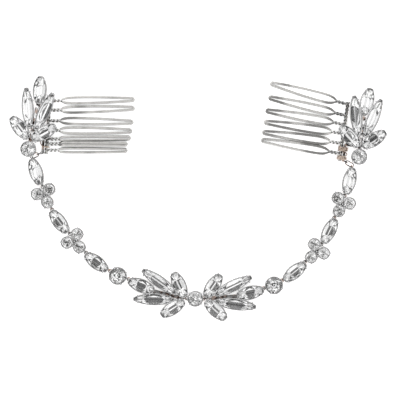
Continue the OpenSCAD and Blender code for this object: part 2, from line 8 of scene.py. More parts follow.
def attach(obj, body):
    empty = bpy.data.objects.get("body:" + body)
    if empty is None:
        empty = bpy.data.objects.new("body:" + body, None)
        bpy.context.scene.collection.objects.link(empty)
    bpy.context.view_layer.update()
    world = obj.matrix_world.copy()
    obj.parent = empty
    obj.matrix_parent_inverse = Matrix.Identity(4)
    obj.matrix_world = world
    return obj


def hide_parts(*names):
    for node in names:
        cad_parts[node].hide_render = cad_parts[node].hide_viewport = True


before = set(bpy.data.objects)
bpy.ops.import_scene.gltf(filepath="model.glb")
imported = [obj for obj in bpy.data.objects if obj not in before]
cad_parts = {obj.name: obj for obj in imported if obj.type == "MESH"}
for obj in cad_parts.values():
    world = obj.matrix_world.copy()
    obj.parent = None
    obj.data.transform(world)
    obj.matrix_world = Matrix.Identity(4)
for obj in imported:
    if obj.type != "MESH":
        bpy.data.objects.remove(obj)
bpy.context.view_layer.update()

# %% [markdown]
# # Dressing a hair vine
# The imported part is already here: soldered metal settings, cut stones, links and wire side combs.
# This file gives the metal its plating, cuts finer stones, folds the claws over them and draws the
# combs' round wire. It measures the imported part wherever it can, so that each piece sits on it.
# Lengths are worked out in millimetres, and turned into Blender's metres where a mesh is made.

MM = 0.001


# %% [markdown]
# ## Shader maths as plain expressions
# A node sheet is easier to read as sums than as a list of links. `Socket` wraps a node's output and
# turns `1 - mask` or `a * b + c` into Math nodes. `Sheet.node` adds any other node: it takes the
# node's type, its settings and the values or links of its sockets. The nodes could also be placed
# by hand in the editor, but a script gives the same finish each time.

# %% Sockets that add up
class Socket:
    def __init__(self, sheet, output):
        self.sheet = sheet
        self.output = output

    def __add__(self, other):
        return self.sheet.sum("ADD", self, other)

    def __sub__(self, other):
        return self.sheet.sum("SUBTRACT", self, other)

    def __rsub__(self, other):
        return self.sheet.sum("SUBTRACT", other, self)

    def __mul__(self, other):
        return self.sheet.sum("MULTIPLY", self, other)

    __radd__ = __add__
    __rmul__ = __mul__


# %% A sheet of nodes
class Sheet:
    def __init__(self, tree):
        self.tree = tree
        tree.nodes.clear()

    def node(self, kind, settings=None, inputs=None, out=0):
        made = self.tree.nodes.new(kind)
        for name, value in (settings or {}).items():
            setattr(made, name, value)
        for name, value in (inputs or {}).items():
            if isinstance(value, Socket):
                self.tree.links.new(value.output, made.inputs[name])
            else:
                made.inputs[name].default_value = value
        return Socket(self, made.outputs[out]) if made.outputs else None

    def sum(self, operation, *terms):
        return self.node("ShaderNodeMath", {"operation": operation}, dict(enumerate(terms)))

    def step(self, value, start, end):
        """0 below start, 1 above end, smooth between."""
        return self.node("ShaderNodeMapRange", {"interpolation_type": "SMOOTHSTEP"},
                         {"Value": value, "From Min": start, "From Max": end})

    def noise(self, place, scale, detail=3.0):
        return self.node("ShaderNodeTexNoise", None,
                         {"Vector": place, "Scale": scale, "Detail": detail}, "Fac")

    def blend(self, share, first, second):
        return self.node("ShaderNodeMix", {"data_type": "RGBA"}, {0: share, 6: first, 7: second}, 2)

    def part(self, vector, name):
        return self.node("ShaderNodeSeparateXYZ", None, {"Vector": vector}, name)

    def upward(self):
        """How far the surface faces up: 1 on a level top, 0 on an upright wall."""
        return self.part(self.node("ShaderNodeNewGeometry", None, None, "Normal"), "Z")


# %% [markdown]
# ## Finishes
# Every finish starts from the place on the object in metres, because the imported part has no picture
# coordinates. A noise at a scale of hundreds then has grains of a few millimetres or less, which is
# what plating, drawn wire and polished glass show. A picture could be wrapped round each piece
# instead, but it would have seams, and it would blur on parts as small as these.

# %% A finish and its place
def new_finish(name):
    material = bpy.data.materials.new(name)
    material.use_nodes = True
    sheet = Sheet(material.node_tree)
    place = sheet.node("ShaderNodeTexCoord", None, None, "Object")
    return material, sheet, place


def finish_surface(sheet, inputs):
    shader = sheet.node("ShaderNodeBsdfPrincipled", None, inputs)
    sheet.node("ShaderNodeOutputMaterial", None, {"Surface": shader})


FINE_RELIEF = 0.02 * MM


def relief(sheet, height, strength):
    return sheet.node("ShaderNodeBump", None,
                      {"Height": height, "Strength": strength, "Distance": FINE_RELIEF})


# %% [markdown]
# ## Bright plating with soldered roots
# The cast settings are plated bright. Their level tops keep the silver, and their flanks get a dark
# colour that is painted shade. Low down between the leaves the solder is brownish and rough, and on
# the sprays it is nearly black: partly solder and partly painted shade between the leaves.
# Here and there the copper under the plating shows. These places could be painted on one by one,
# but the surface's own slope and its height over the piece's back already tell them apart.

# %% Plated metal
SILVER = (0.86, 0.86, 0.86, 1)
# The flank colours are painted shade for the slopes of the castings and lips; the spray's is darker.
CHAIN_FLANK_SHADE = (0.16, 0.16, 0.16, 1)
SPRAY_FLANK_SHADE = (0.03, 0.03, 0.03, 1)
# The chain's solder is brown. The spray's is nearly black: partly solder and partly painted shade
# between the leaves.
CHAIN_SOLDER = (0.10, 0.075, 0.065, 1)
SPRAY_SOLDER_AND_SHADE = (0.03, 0.022, 0.02, 1)
COPPER = (0.58, 0.45, 0.39, 1)
CHAIN_BACK = 0.0
SPRAY_BACK = 2.904 * MM
SOLDER_LINE = 2.02 * MM
SOLDER_FADE = 0.2 * MM
CAST_GRAIN = 900.0
SOLDER_POOLS = 420.0
BARE_PATCHES = 650.0


def plated(name, back_z, flank_shade, solder_and_shade):
    """Silver on level tops, painted shade on slopes, and soldered pools below SOLDER_LINE."""
    material, sheet, place = new_finish(name)
    height = sheet.part(place, "Z") - back_z
    grain = sheet.noise(place, CAST_GRAIN)
    pools = sheet.step(sheet.noise(place, SOLDER_POOLS, 2.0), 0.36, 0.58)
    brown = (1 - sheet.step(height, SOLDER_LINE, SOLDER_LINE + SOLDER_FADE)) * pools
    # Painted shade: slopes get the flank colour, level tops keep the silver.
    painted_flank_shade = 1 - sheet.step(sheet.upward(), 0.82, 0.995)
    bare = sheet.step(sheet.noise(place, BARE_PATCHES, 1.0), 0.48, 0.60)
    metal = sheet.blend(painted_flank_shade, SILVER, flank_shade)
    joint = sheet.blend(bare, solder_and_shade, COPPER)
    finish_surface(sheet, {
        "Base Color": sheet.blend(brown, metal, joint),
        "Metallic": 1.0,
        "Roughness": grain * 0.10 + brown * 0.25 + painted_flank_shade * 0.15 + 0.05,
        "Normal": relief(sheet, grain, 0.12),
    })
    return material


chain_metal = plated("chain_plating", CHAIN_BACK, CHAIN_FLANK_SHADE, CHAIN_SOLDER)
spray_metal = plated("spray_plating", SPRAY_BACK, SPRAY_FLANK_SHADE, SPRAY_SOLDER_AND_SHADE)
print("plating for the chain and, darker on its flanks, for the sprays")


# %% [markdown]
# ## Wires
# The combs are drawn steel wire, a warm grey with fine marks. The binding is a thin copper coloured
# wire that has lost part of its plating, and the claws are a little greyer than the settings. All
# four get their light tint where they face up and a dark tint on their flanks, which is painted
# shade; on the comb's legs it is nearly black. The twisted necks get a lighter tint than the legs,
# painted light for the light that a twist catches on every turn. One recipe with four sets of tints
# makes them, and the tint follows the surface's own slope. A plain grey metal would need no recipe,
# but it would look like plastic.

# %% Wire finishes
DRAWN_MARKS = 1400.0
SMALL_CLOUDS = 260.0
LONG_STRETCHES = 70.0
LIT_FADE = 0.35


def wire_finish(name, light, dark, rough, lit_above):
    """Light tint facing up, painted shade on the flanks, and darker in random stretches."""
    material, sheet, place = new_finish(name)
    marks = sheet.noise(place, DRAWN_MARKS, 4.0)
    cloud = sheet.step(sheet.noise(place, SMALL_CLOUDS, 2.0), 0.50, 0.80)
    stretch = sheet.step(sheet.noise(place, LONG_STRETCHES, 1.0), 0.52, 0.62)
    # Painted shade: the flanks get the dark tint, what faces up gets the light one.
    top = sheet.step(sheet.upward(), lit_above - LIT_FADE, lit_above)
    painted_flank_shade = 1 - top * (1 - cloud * 0.2) * (1 - stretch * 0.6)
    finish_surface(sheet, {
        "Base Color": sheet.blend(painted_flank_shade, light, dark),
        "Metallic": 1.0,
        "Roughness": marks * 0.12 + painted_flank_shade * 0.15 + rough,
        "Normal": relief(sheet, marks, 0.10),
    })
    return material


# Each: light tint, painted shade tint for the flanks, roughness, and how far up it must face to be
# light.
WIRES = {
    "comb_steel": ((0.66, 0.65, 0.63, 1), (0.010, 0.010, 0.010, 1), 0.08, 0.74),
    # The neck's light tint is lighter than the legs': painted light for the light that the twist
    # catches.
    "neck_steel": ((0.86, 0.86, 0.85, 1), (0.10, 0.10, 0.10, 1), 0.08, 0.62),
    "binding_copper": ((0.80, 0.66, 0.56, 1), (0.22, 0.14, 0.10, 1), 0.16, 0.80),
    "claw_metal": ((0.76, 0.76, 0.77, 1), (0.20, 0.20, 0.20, 1), 0.12, 0.93),
}
wires = {name: wire_finish(name, *tints) for name, tints in WIRES.items()}
print("wire finishes:", ", ".join(wires))


# %% [markdown]
# ## Foiled glass
# A crystal stone is glass in front and a silver foil behind. Light goes in through the crown,
# bounces between the foiled facets and comes out again, so a facet shows a piece of the room, white
# or dark. A bare glass mesh would show the floor through its back instead. Two finishes on one
# closed mesh do what the stone does: glass on the crown and mirror on the pavilion. The small
# rounds of the trefoils have lost some foil, and show dark specks.

# %% Crystal finishes
POLISH = 1600.0
FOIL_CLOUDS = 500.0
CHIPS = 1300.0
BARE_CUP = (0.04, 0.035, 0.03, 1)


def crown_glass():
    material, sheet, place = new_finish("crown_glass")
    polish = sheet.noise(place, POLISH)
    finish_surface(sheet, {
        "Base Color": sheet.blend(polish, (1.0, 1.0, 1.0, 1), (0.97, 0.97, 0.97, 1)),
        "Roughness": polish * 0.02,
        "IOR": 1.58,
        "Transmission Weight": 1.0,
    })
    return material


def back_foil(name, chipped):
    """The foil wears off in specks of half a millimetre, and chipped is how dark they get."""
    material, sheet, place = new_finish(name)
    cloud = sheet.noise(place, FOIL_CLOUDS)
    chips = sheet.step(sheet.noise(place, CHIPS, 1.0), 0.58, 0.63) * chipped
    bright = sheet.blend(cloud, (0.97, 0.97, 0.97, 1), (0.86, 0.86, 0.86, 1))
    finish_surface(sheet, {
        "Base Color": sheet.blend(chips, bright, BARE_CUP),
        "Metallic": 0.95,
        "Roughness": cloud * 0.06 + 0.01,
    })
    return material


glass = crown_glass()
foil = back_foil("back_foil", 0.0)
worn_foil = back_foil("worn_foil", 0.9)
print("glass, foil and worn foil are mixed")

# %% [markdown]
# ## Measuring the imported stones
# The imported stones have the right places. A navette's long axis comes from the spread of its
# corners, and its size from the nearest of the five stones that the part uses. The places could be
# typed in again from the part's source, but measured ones stay right when the part changes.

# %% Stone sizes and outlines, in millimetres
# Length, width, and how many times the length its side arcs would span without the blunt ends.
# The heights are over the bottom of the stone's own cup.
STONES = {
    "long": (15.6, 3.9, 1.12),
    "navette": (10.2, 4.7, 1.2),
    "small": (4.2, 4.2, 1),
    "mid": (5.5, 5.5, 1),
    "large": (6.3, 6.3, 1),
}
GIRDLE_TOP = 2.9
GIRDLE_LOW = 2.65
CULET_Z = 0.6


def side_arc(stone):
    """The radius of the two arcs that make a navette's sides."""
    length, width, stretch = stone
    reach = length * stretch
    return (reach * reach + width * width) / (4 * width)


def half_width(stone, x):
    arc = side_arc(stone)
    return math.sqrt(arc * arc - x * x) - arc + stone[1] / 2


def rim_point(stone, angle):
    length, width, _ = stone
    x = math.cos(angle) * length / 2
    if length == width:
        return Vector((x, math.sin(angle) * width / 2))
    side = 1 if math.sin(angle) > 0 else -1
    return Vector((x, side * half_width(stone, x)))


print(len(STONES), "sizes of stone")

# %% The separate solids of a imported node, as corners
def solids(node):
    """Corners that edges join belong to one solid."""
    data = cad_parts[node].data
    keys = [tuple(round(c / MM, 3) for c in vertex.co) for vertex in data.vertices]
    chief = {key: key for key in keys}

    def root(key):
        while chief[key] != key:
            chief[key] = chief[chief[key]]
            key = chief[key]
        return key

    for edge in data.edges:
        first, second = (root(keys[v]) for v in edge.vertices)
        chief[first] = second
    groups = {}
    for key in chief:
        groups.setdefault(root(key), []).append(Vector(key))
    return list(groups.values())


def centre(points):
    return sum((p.xy for p in points), Vector((0, 0))) / len(points)


# %% Measure each stone
PACKED_REACH = math.cos(math.pi / 16)


def measured_stone(points):
    """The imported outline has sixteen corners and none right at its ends, so it measures short."""
    middle = centre(points)
    xx = sum((p.x - middle.x) ** 2 for p in points)
    yy = sum((p.y - middle.y) ** 2 for p in points)
    xy = sum((p.x - middle.x) * (p.y - middle.y) for p in points)
    heading = 0.5 * math.atan2(2 * xy, xx - yy)
    along = Vector((math.cos(heading), math.sin(heading)))
    reach = [(p.xy - middle).dot(along) for p in points]
    length = max(reach) - min(reach)
    kind = min(STONES, key=lambda k: abs(STONES[k][0] * PACKED_REACH - length))
    middle = middle + along * (max(reach) + min(reach)) / 2
    base = min(p.z for p in points) - CULET_Z
    return {"kind": kind, "middle": middle, "heading": heading, "base": base}


stone_nodes = [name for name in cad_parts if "stone" in name]
stones = {}
for name in stone_nodes:
    stones[name] = [measured_stone(group) for group in solids(name)]
print(len(stone_nodes), "stone nodes with", sum(len(v) for v in stones.values()), "stones")

# %% [markdown]
# ## Cutting a stone
# A brilliant has a table, stars and kites on its crown, a thin girdle, and long mains and halves on
# its pavilion. A navette has the same crown, drawn out along its axis, but its pavilion is a boat's
# hull: two long flanks that meet in a keel, which rises towards the tips. So each flank shows as
# one broad patch of light or shade. A bevelled cylinder would be quicker, but its facets would
# have the wrong angles, and the angles decide what each one mirrors. So the corners are worked out
# one by one. Flat shading keeps every facet crisp.

# %% Corners and facets
GLASS_SLOT = 0
FOIL_SLOT = 1
SPINE_SHARE = 0.75


class Cutter:
    """Sets the corners and facets of one stone, in the stone's own millimetres."""

    def __init__(self, mesh, stone, placed):
        self.mesh = mesh
        self.stone = stone
        self.placed = placed
        self.spine = SPINE_SHARE * (stone[0] - stone[1]) / 2

    def corner(self, x, y, z):
        return self.mesh.verts.new(self.placed @ Vector((x, y, z)))

    def ring(self, count, offset, share, z, alternate=0.0):
        """The outline, drawn in by share towards a spine on the long axis. In a round stone the
        spine is the middle. Corners sit higher and lower by turns, by alternate."""
        turn = 2 * math.pi / count
        made = []
        for k in range(count):
            rim = rim_point(self.stone, (k + offset) * turn)
            core = Vector((max(-self.spine, min(self.spine, rim.x)), 0))
            made.append(self.corner(*core.lerp(rim, share), z + alternate * (-1) ** k))
        return made

    def facet(self, points, slot):
        unique = list(dict.fromkeys(points))
        if len(unique) > 2:
            self.mesh.faces.new(unique).material_index = slot


# %% Crown and girdle
MAINS = 8
CROWN_SHARE = 0.2
TABLE = 0.56
BEZEL = 0.80
BEZEL_RISE = 0.50


def crown_and_girdle(cutter):
    """Glass from the table down, and the foil's edge. It gives back the girdle's low corners."""
    rise = CROWN_SHARE * cutter.stone[1]
    table = cutter.ring(MAINS, 0.5, TABLE, GIRDLE_TOP + rise)
    bezel = cutter.ring(MAINS, 1.0, BEZEL, GIRDLE_TOP + rise * BEZEL_RISE)
    top = cutter.ring(2 * MAINS, 0.5, 1.0, GIRDLE_TOP)
    low = cutter.ring(2 * MAINS, 0.5, 1.0, GIRDLE_LOW)
    cutter.facet(table, GLASS_SLOT)
    for k in range(MAINS):
        n = (k + 1) % MAINS
        cutter.facet([table[k], table[n], bezel[k]], GLASS_SLOT)
        cutter.facet([table[k], bezel[k], top[2 * k + 1]], GLASS_SLOT)
        cutter.facet([table[k], top[2 * k + 1], top[2 * k], bezel[k - 1]], GLASS_SLOT)
        cutter.facet([bezel[k], top[2 * n], top[2 * k + 1]], GLASS_SLOT)
    for k in range(2 * MAINS):
        n = (k + 1) % (2 * MAINS)
        cutter.facet([top[k], top[n], low[n], low[k]], FOIL_SLOT)
    return low


# %% Hull of a navette, pavilion of a round stone
# Shares are of the stone's own width, length or depth.
KEEL_DEPTH = 0.45
KEEL_FLAT = 0.36
KEEL_TIP = 0.94
KEEL_RISE = 0.72
HALVES = 0.36
HALVES_DROP = 0.70
HALVES_ALTERNATE = 0.035


def hull(cutter, low):
    length, width, _ = cutter.stone
    depth = KEEL_DEPTH * width
    flat, tip = KEEL_FLAT * (length - width), KEEL_TIP * length / 2
    deep, shallow = GIRDLE_LOW - depth, GIRDLE_LOW - depth * KEEL_RISE
    line = [(tip, shallow), (flat, deep), (-flat, deep), (-tip, shallow)]
    keel = [cutter.corner(x, 0, z) for x, z in line]
    hung = [keel[k // 2 if k < MAINS else MAINS - 1 - k // 2] for k in range(2 * MAINS)]
    for k in range(2 * MAINS):
        n = (k + 1) % (2 * MAINS)
        cutter.facet([low[k], low[n], hung[n], hung[k]], FOIL_SLOT)


def pavilion(cutter, low):
    culet = cutter.corner(0, 0, CULET_Z)
    depth = GIRDLE_LOW - CULET_Z
    level = GIRDLE_LOW - depth * HALVES_DROP
    halves = cutter.ring(MAINS, 0.5, HALVES, level, depth * HALVES_ALTERNATE)
    for k in range(MAINS):
        n = (k + 1) % MAINS
        cutter.facet([halves[k], low[2 * k], low[2 * k + 1]], FOIL_SLOT)
        cutter.facet([halves[k], low[2 * k + 1], low[2 * n], halves[n]], FOIL_SLOT)
        cutter.facet([halves[k], halves[n], culet], FOIL_SLOT)


def brilliant(mesh, stone, placed):
    cutter = Cutter(mesh, stone, placed)
    low = crown_and_girdle(cutter)
    if cutter.spine:
        hull(cutter, low)
    else:
        pavilion(cutter, low)


# %% Build a piece from a bmesh
def new_piece(name, mesh, materials, replaced=(), smooth=False):
    """A piece of its own that rides on the part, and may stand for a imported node."""
    bmesh.ops.triangulate(mesh, faces=mesh.faces[:])
    bmesh.ops.recalc_face_normals(mesh, faces=mesh.faces[:])
    data = bpy.data.meshes.new(name)
    mesh.to_mesh(data)
    mesh.free()
    data.polygons.foreach_set("use_smooth", [smooth] * len(data.polygons))
    for material in materials:
        data.materials.append(material)
    piece = bpy.data.objects.new(name, data)
    bpy.context.scene.collection.objects.link(piece)
    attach(piece, "root")
    if replaced:
        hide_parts(*replaced)
    return piece


# %% Seat and cut the stones
ROLL = 4.0


def stone_place(stone):
    spot = Matrix.Translation((*stone["middle"], stone["base"]))
    return Matrix.Scale(MM, 4) @ spot @ Matrix.Rotation(stone["heading"], 4, "Z")


def seated(stone, chance):
    """No stone sits quite level: it rolls a little about its long axis and pitches less."""
    length, width, _ = STONES[stone["kind"]]
    roll = math.radians(chance.uniform(-ROLL, ROLL))
    pitch = math.radians(chance.uniform(-ROLL, ROLL)) * width / length
    lean = Matrix.Rotation(roll, 4, "X") @ Matrix.Rotation(pitch, 4, "Y")
    pivot = Matrix.Translation((0, 0, GIRDLE_TOP))
    return stone_place(stone) @ pivot @ lean @ pivot.inverted()


chance = random.Random(26)
for name, group in stones.items():
    mesh = bmesh.new()
    for stone in group:
        brilliant(mesh, STONES[stone["kind"]], seated(stone, chance))
    backing = worn_foil if group[0]["kind"] == "small" else foil
    new_piece("cut_" + name, mesh, [glass, backing], [name])
print(sum(len(group) for group in stones.values()), "stones cut")

# %% [markdown]
# ## Claws
# Each cup holds its stone with four claws, pressed down over the crown. A claw is a short bean of
# metal: it wraps the cast stub outside the stone and tapers in over its edge. A stretched sphere
# would do from far away, but a bean has one radius at its foot and a smaller one at its tip.

# %% A bean, from hoops of corners
BEAN_RINGS = 6
BEAN_SIDES = 10
POINTED = 1e-6


def hoop(mesh, middle, radius, across, up, sides):
    """Corners in a circle round a point, or one corner where the circle closes."""
    if radius < POINTED:
        return [mesh.verts.new(middle * MM)]
    turns = [2 * math.pi * s / sides for s in range(sides)]
    spokes = [math.cos(a) * across + math.sin(a) * up for a in turns]
    return [mesh.verts.new((middle + radius * spoke) * MM) for spoke in spokes]


def bean(mesh, start, end, r_start, r_end):
    way = (end - start).normalized()
    across = way.cross(Vector((0, 0, 1))).normalized()
    up = across.cross(way)
    dome = [math.pi / 2 * k / BEAN_RINGS for k in range(BEAN_RINGS + 1)]
    line = [(start - way * r_start * math.sin(a), r_start * math.cos(a)) for a in dome[::-1]]
    line += [(end + way * r_end * math.sin(a), r_end * math.cos(a)) for a in dome]
    loops = [hoop(mesh, middle, radius, across, up, BEAN_SIDES) for middle, radius in line]
    for first, second in zip(loops, loops[1:]):
        for s in range(BEAN_SIDES):
            n = (s + 1) % BEAN_SIDES
            points = [first[s % len(first)], first[n % len(first)],
                      second[n % len(second)], second[s % len(second)]]
            unique = list(dict.fromkeys(points))
            if len(unique) > 2:
                mesh.faces.new(unique)


# %% Find the cast stubs
STUB_TOP = 3.3
STUB_REACH = 0.35
LEVEL_SLACK = 0.004
LEAST_CORNERS = 6


def clusters(points, reach):
    groups = []
    for point in points:
        near = [g for g in groups if any((point - q).xy.length < reach for q in g)]
        joined = [point] + [q for g in near for q in g]
        groups = [g for g in groups if not any(g is n for n in near)] + [joined]
    return groups


def stubs(node, base):
    """The middles of a casting's stubs, seen as rings of corners at the height of their tops."""
    level = base + STUB_TOP
    points = [p for group in solids(node) for p in group if abs(p.z - level) < LEVEL_SLACK]
    return [centre(g) for g in clusters(points, STUB_REACH) if len(g) >= LEAST_CORNERS]


settings = [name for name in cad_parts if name.endswith("setting")]
stems = {node: node[:-len("setting")] for node in settings}
all_stones = [(name, s) for name, group in stones.items() for s in group]
own_stones = {node: [s for name, s in all_stones if name.startswith(stems[node])]
              for node in settings}
print(len(settings), "settings")

# %% Fold a claw over each stub
FOOT_SINK = 0.26
TIP_SINK = 0.03
CLAW_REACH = 0.46
CLAW_FOOT_R = 0.33
CLAW_TIP_R = 0.22


def inward(stone, offset):
    """From a stub to its stone: to the middle of a round, or straight to a navette's long axis."""
    length, width, _ = STONES[stone["kind"]]
    if length == width:
        return -offset.normalized()
    along = Vector((math.cos(stone["heading"]), math.sin(stone["heading"])))
    return -(offset - along * offset.dot(along)).normalized()


def off_edge(spot, stone):
    return (spot - stone["middle"]).length - STONES[stone["kind"]][1] / 2


claw_count = 0
for node in settings:
    mesh = bmesh.new()
    for spot in stubs(node, own_stones[node][0]["base"]):
        stone = min(own_stones[node], key=lambda s: off_edge(spot, s))
        top = stone["base"] + STUB_TOP
        reach = inward(stone, spot - stone["middle"]) * CLAW_REACH
        foot = Vector((*spot, top - FOOT_SINK))
        tip = Vector((*(spot + reach), top - TIP_SINK))
        bean(mesh, foot, tip, CLAW_FOOT_R, CLAW_TIP_R)
        claw_count += 1
    new_piece(stems[node] + "claws", mesh, [wires["claw_metal"]], smooth=True)
print(claw_count, "claws")

# %% [markdown]
# ## Round wire
# The real wires are drawn round and then bent. A hoop of corners is swept along a smooth route, and
# turns as little as possible from one point to the next, which keeps the wire from pinching in the
# twists. Blender's own curve bevel could do this too, but here each band of faces is known, so the
# neck of a tooth can have another finish than its legs.

# %% Sweep a wire
# A hoop starts from a direction that no wire follows.
WIRE_SIDES = 12
OFF_WIRE = Vector((0.13, 0.31, 0.94))


def smooth_route(points, steps):
    """A curve through all the points, with steps corners from each to the next."""
    route = []
    last = len(points) - 1
    for k in range(last):
        a, b, c, d = (points[max(k - 1, 0)], points[k], points[k + 1], points[min(k + 2, last)])
        for s in range(steps):
            t = s / steps
            route.append(0.5 * (2 * b + (c - a) * t + (2 * a - 5 * b + 4 * c - d) * t * t
                                + (3 * b - a - 3 * c + d) * t ** 3))
    return route + [points[-1]]


def band_between(mesh, first, second):
    count = len(first)
    return [mesh.faces.new([first[s], first[(s + 1) % count], second[(s + 1) % count], second[s]])
            for s in range(count)]


def sweep(mesh, route, radii, sides=WIRE_SIDES, closed=False):
    """A round wire along a route. It gives back its faces, band by band."""
    count = len(route)
    loops = []
    across = None
    for k, (point, radius) in enumerate(zip(route, radii)):
        ahead = route[(k + 1) % count] if closed else route[min(k + 1, count - 1)]
        behind = route[k - 1] if closed else route[max(k - 1, 0)]
        way = (ahead - behind).normalized()
        if across is None:
            across = way.cross(OFF_WIRE).normalized()
        across = (across - way * across.dot(way)).normalized()
        loops.append(hoop(mesh, point, radius, across, way.cross(across), sides))
    pairs = list(zip(loops, loops[1:])) + ([(loops[-1], loops[0])] if closed else [])
    bands = [band_between(mesh, first, second) for first, second in pairs]
    if not closed:
        mesh.faces.new(loops[0])
        mesh.faces.new(loops[-1])
    return bands


# %% [markdown]
# ## Burnished lips
# The top edge of each cup is rubbed over towards its stone, which leaves a smooth round lip. The
# packed edge is sharp, and would show as a flat grey band. A bevel on the whole casting would need
# a new casting, so a thin rounded lip is laid over the edge. It follows the cup's outline, which is
# made of two long arcs and two blunt ends, or of one circle.

# %% Outline of a cup, grown from its stone
ARC_STEPS = 16
BLUNT_STEPS = 5


def on_circle(radius, angle, drop=0.0):
    return Vector((radius * math.cos(angle), radius * math.sin(angle) - drop))


def cup_line(stone, grow):
    length, width, _ = stone
    clip = length / 2 + grow
    if length == width:
        return [on_circle(clip, math.pi * k / ARC_STEPS) for k in range(2 * ARC_STEPS)]
    arc = side_arc(stone)
    off = arc - width / 2
    side = arc + grow
    end_y = (side * side - clip * clip - off * off) / (2 * off)
    end_x = math.sqrt(clip * clip - end_y * end_y)
    start = math.atan2(end_y + off, end_x)
    blunt = math.atan2(end_y, end_x)
    half = [on_circle(side, start + (math.pi - 2 * start) * k / ARC_STEPS, off)
            for k in range(ARC_STEPS + 1)]
    half += [on_circle(clip, math.pi - blunt + 2 * blunt * k / BLUNT_STEPS)
             for k in range(1, BLUNT_STEPS)]
    return half + [-p for p in half]


# %% Round the lips
LIP_GROW = 0.27
LIP_HALF = 0.19
LIP_RISE = 0.13
LIP_Z = GIRDLE_TOP - 0.02
LIP_SIDES = 8


def setting_metal(node):
    return spray_metal if "spray" in node else chain_metal


def lip(mesh, stone, placed):
    line = cup_line(STONES[stone["kind"]], LIP_GROW)
    loops = []
    for k, point in enumerate(line):
        way = (line[(k + 1) % len(line)] - line[k - 1]).normalized()
        out = Vector((way.y, -way.x))
        loop = []
        for s in range(LIP_SIDES):
            a = 2 * math.pi * s / LIP_SIDES
            flat = point + out * LIP_HALF * math.cos(a)
            spot = Vector((*flat, LIP_Z + LIP_RISE * math.sin(a)))
            loop.append(mesh.verts.new(placed @ spot))
        loops.append(loop)
    for first, second in zip(loops, loops[1:] + loops[:1]):
        band_between(mesh, first, second)


for node in settings:
    mesh = bmesh.new()
    for stone in own_stones[node]:
        lip(mesh, stone, stone_place(stone))
    new_piece(stems[node] + "lips", mesh, [setting_metal(node)], smooth=True)
print(len(all_stones), "lips rounded")

# %% [markdown]
# ## Combs
# Each comb is a spine of two wires twisted together, with hairpin teeth. A tooth is one wire: down
# one strand of its twisted neck, along a leg, round the tip and back. The legs swell apart behind
# the neck, close at the tip and bow down so that the tips rest on the surface. One straight tooth
# could be copied along the spine, but on a hand made comb no two teeth are alike, so each one has
# its own heading, opening and length.

# %% Comb sizes, in millimetres
# Each tooth: its station along the spine in pitches, its heading in degrees, half its opening, its
# share of the leg's length, and by how many wires it is lifted over its neighbours. The turns are
# where the coils of the binding sit along the spine.
COMB_WIRE = 0.75
LEG_WIRE = 1.05
SWELL = 1.5
STRAND_R = 0.425
TWIST_R = 0.8
TWIST_PITCH = 2.9
SPINE_Z = 1.377
SPINE_OFF = 1.45
NECK_L = 5.0
LEG_L = 27.0
LEG_BOW = 1.6
TIP_R = 0.62
TOOTH_PITCH = 4.0
TOOTH_START = TWIST_R + 0.15
SPINE_START = -0.3
LIFT = COMB_WIRE + 0.1
LEG_SHAPE = [(0.05, 0.5), (0.12, 0.9), (0.25, 1), (0.5, 0.85), (0.75, 0.45), (0.92, 0.1)]
COMBS = {
    "left": {
        "mirror": -1, "elbow": (61.1342, 58.4962), "heading": 93.6, "first": 1.0, "spine": 21.68,
        "teeth": [(0, 86.5, 0.85, 1, 0), (0.64, 86.6, 0.52, 1, 1), (1.12, 85.6, 0.72, 1.04, 0),
                  (2.0, 86.8, 1.2, 1.05, 0), (2.98, 87.4, 1.2, 1.06, 0), (4.02, 85.0, 1.2, 1.07, 0),
                  (4.97, 85.4, 1.2, 1.06, 0)],
        "turns": [2.32, 6.52, 7.08, 7.64],
    },
    "right": {
        "mirror": 1, "elbow": (59.2001, 55.3458), "heading": 81.5, "first": 2.54, "spine": 23.3,
        "teeth": [(0, 88.7, 1.45, 0.99, 0), (1.04, 90.4, 1.45, 0.99, 0),
                  (2.03, 90.1, 1.45, 0.99, 0), (2.96, 88.5, 1.45, 0.99, 0),
                  (3.85, 85.2, 1.4, 0.98, 0), (4.99, 83.1, 1.6, 0.99, 0)],
        "turns": [0.31, 0.87, 1.43, 3.74, 4.3, 4.86, 5.42],
    },
}


def turned(point, degrees):
    return Matrix.Rotation(math.radians(degrees), 4, "Z") @ point


def comb_place(comb, point):
    """From the spine's own lines to the object's: x runs along the spine, y away from the bar."""
    world = turned(point, comb["heading"]) + Vector((*comb["elbow"], SPINE_Z))
    return Vector((comb["mirror"] * world.x, world.y, world.z))


# %% Strands, legs and teeth
STEPS_PER_TURN = 16
LEG_STEPS = 5
BEND_STEPS = 12


def strand(start, end, phase):
    """One of two wires twisted round the x axis. It ends at the angle of its phase, in degrees."""
    count = math.ceil(STEPS_PER_TURN * (end - start) / TWIST_PITCH)
    points = []
    for k in range(count + 1):
        x = start + (end - start) * k / count
        angle = math.radians(phase) + 2 * math.pi * (x - end) / TWIST_PITCH
        points.append(Vector((x, STRAND_R * math.cos(angle), STRAND_R * math.sin(angle))))
    return points


def leg_z(share):
    return -(SPINE_Z - LEG_WIRE / 2) * share ** LEG_BOW


def tooth_radius(point):
    """The strands of the neck are thinner than the legs, which thicken behind it."""
    share = max(0.0, min(1.0, (point.x - NECK_L) / SWELL))
    return (COMB_WIRE + (LEG_WIRE - COMB_WIRE) * share) / 2


